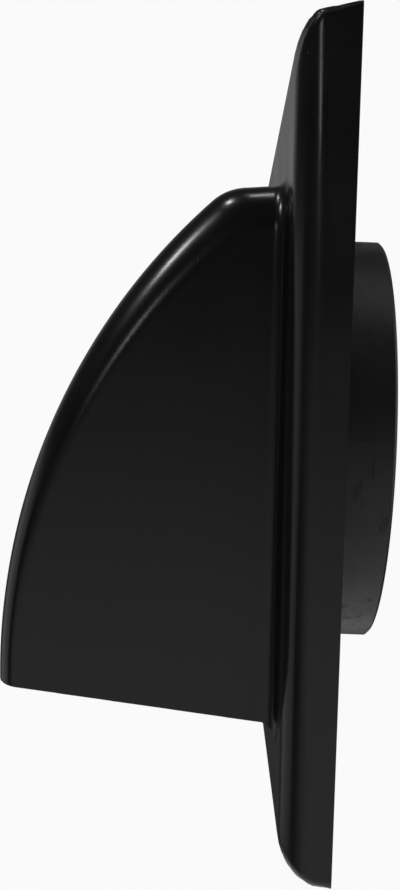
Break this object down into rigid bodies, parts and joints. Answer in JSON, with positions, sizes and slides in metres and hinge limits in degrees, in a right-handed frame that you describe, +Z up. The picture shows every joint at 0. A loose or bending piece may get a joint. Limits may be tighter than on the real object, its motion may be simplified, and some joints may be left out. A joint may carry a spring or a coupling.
{
  "type": "hooded vent cover",
  "caption": "Square wall or panel vent cover with a downward-open curved hood, round duct collar behind, gravity back-draught flap and hinged mouth guard.",
  "frame": {"origin": "duct axis where it crosses the wall plane, which is the back plane of the flange", "axes": "+Y along the duct axis, into the wall; -Y towards the hood's front; +Z up; X across"},
  "size_m": [0.166, 0.084, 0.166],
  "materials": {
    "cowl": "gloss black moulding",
    "wall_gasket": "closed-cell foam",
    "duct_collar": "satin black moulding with fine flow marks",
    "collar_seal": "matt",
    "collar_screws": "zinc plated",
    "damper_frame": "satin",
    "flap_seal": "matt",
    "damper_flap": "satin",
    "flap_rod": "bright drawn",
    "rod_caps": "satin nylon",
    "flap_weight": "rolled strip",
    "flap_rivets": "satin",
    "flap_bumpers": "matt",
    "guard_panel": "satin",
    "guard_pins": "bright drawn",
    "insect_screen": "fine wire mesh",
    "screen_frame": "satin",
    "screen_screws": "zinc plated",
    "guard_catch": "spring temper",
    "catch_rivets": "satin"
  },
  "bodies": {
    "cover": {"cowl": "cowl", "wall_gasket": "wall_gasket", "duct_collar": "duct_collar", "collar_seal": "collar_seal", "collar_screws": "collar_screws", "damper_frame": "damper_frame", "flap_seal": "flap_seal", "flap_rod": "flap_rod", "rod_caps": "rod_caps", "guard_pins": "guard_pins"},
    "flap": {"damper_flap": "damper_flap", "flap_weight": "flap_weight", "flap_rivets": "flap_rivets", "flap_bumpers": "flap_bumpers"},
    "guard": {"guard_panel": "guard_panel", "insect_screen": "insect_screen", "screen_frame": "screen_frame", "screen_screws": "screen_screws", "guard_catch": "guard_catch", "catch_rivets": "catch_rivets"}
  },
  "joints": [
    {"name": "flap_hinge", "type": "hinge", "parent": "cover", "child": "flap", "pos_m": [0, -0.017, 0.0435], "axis": [-1, 0, 0], "range_deg": [0, 28]},
    {"name": "guard_hinge", "type": "hinge", "parent": "cover", "child": "guard", "pos_m": [0, -0.017, -0.0552], "axis": [1, 0, 0], "range_deg": [0, 75]}
  ]
}
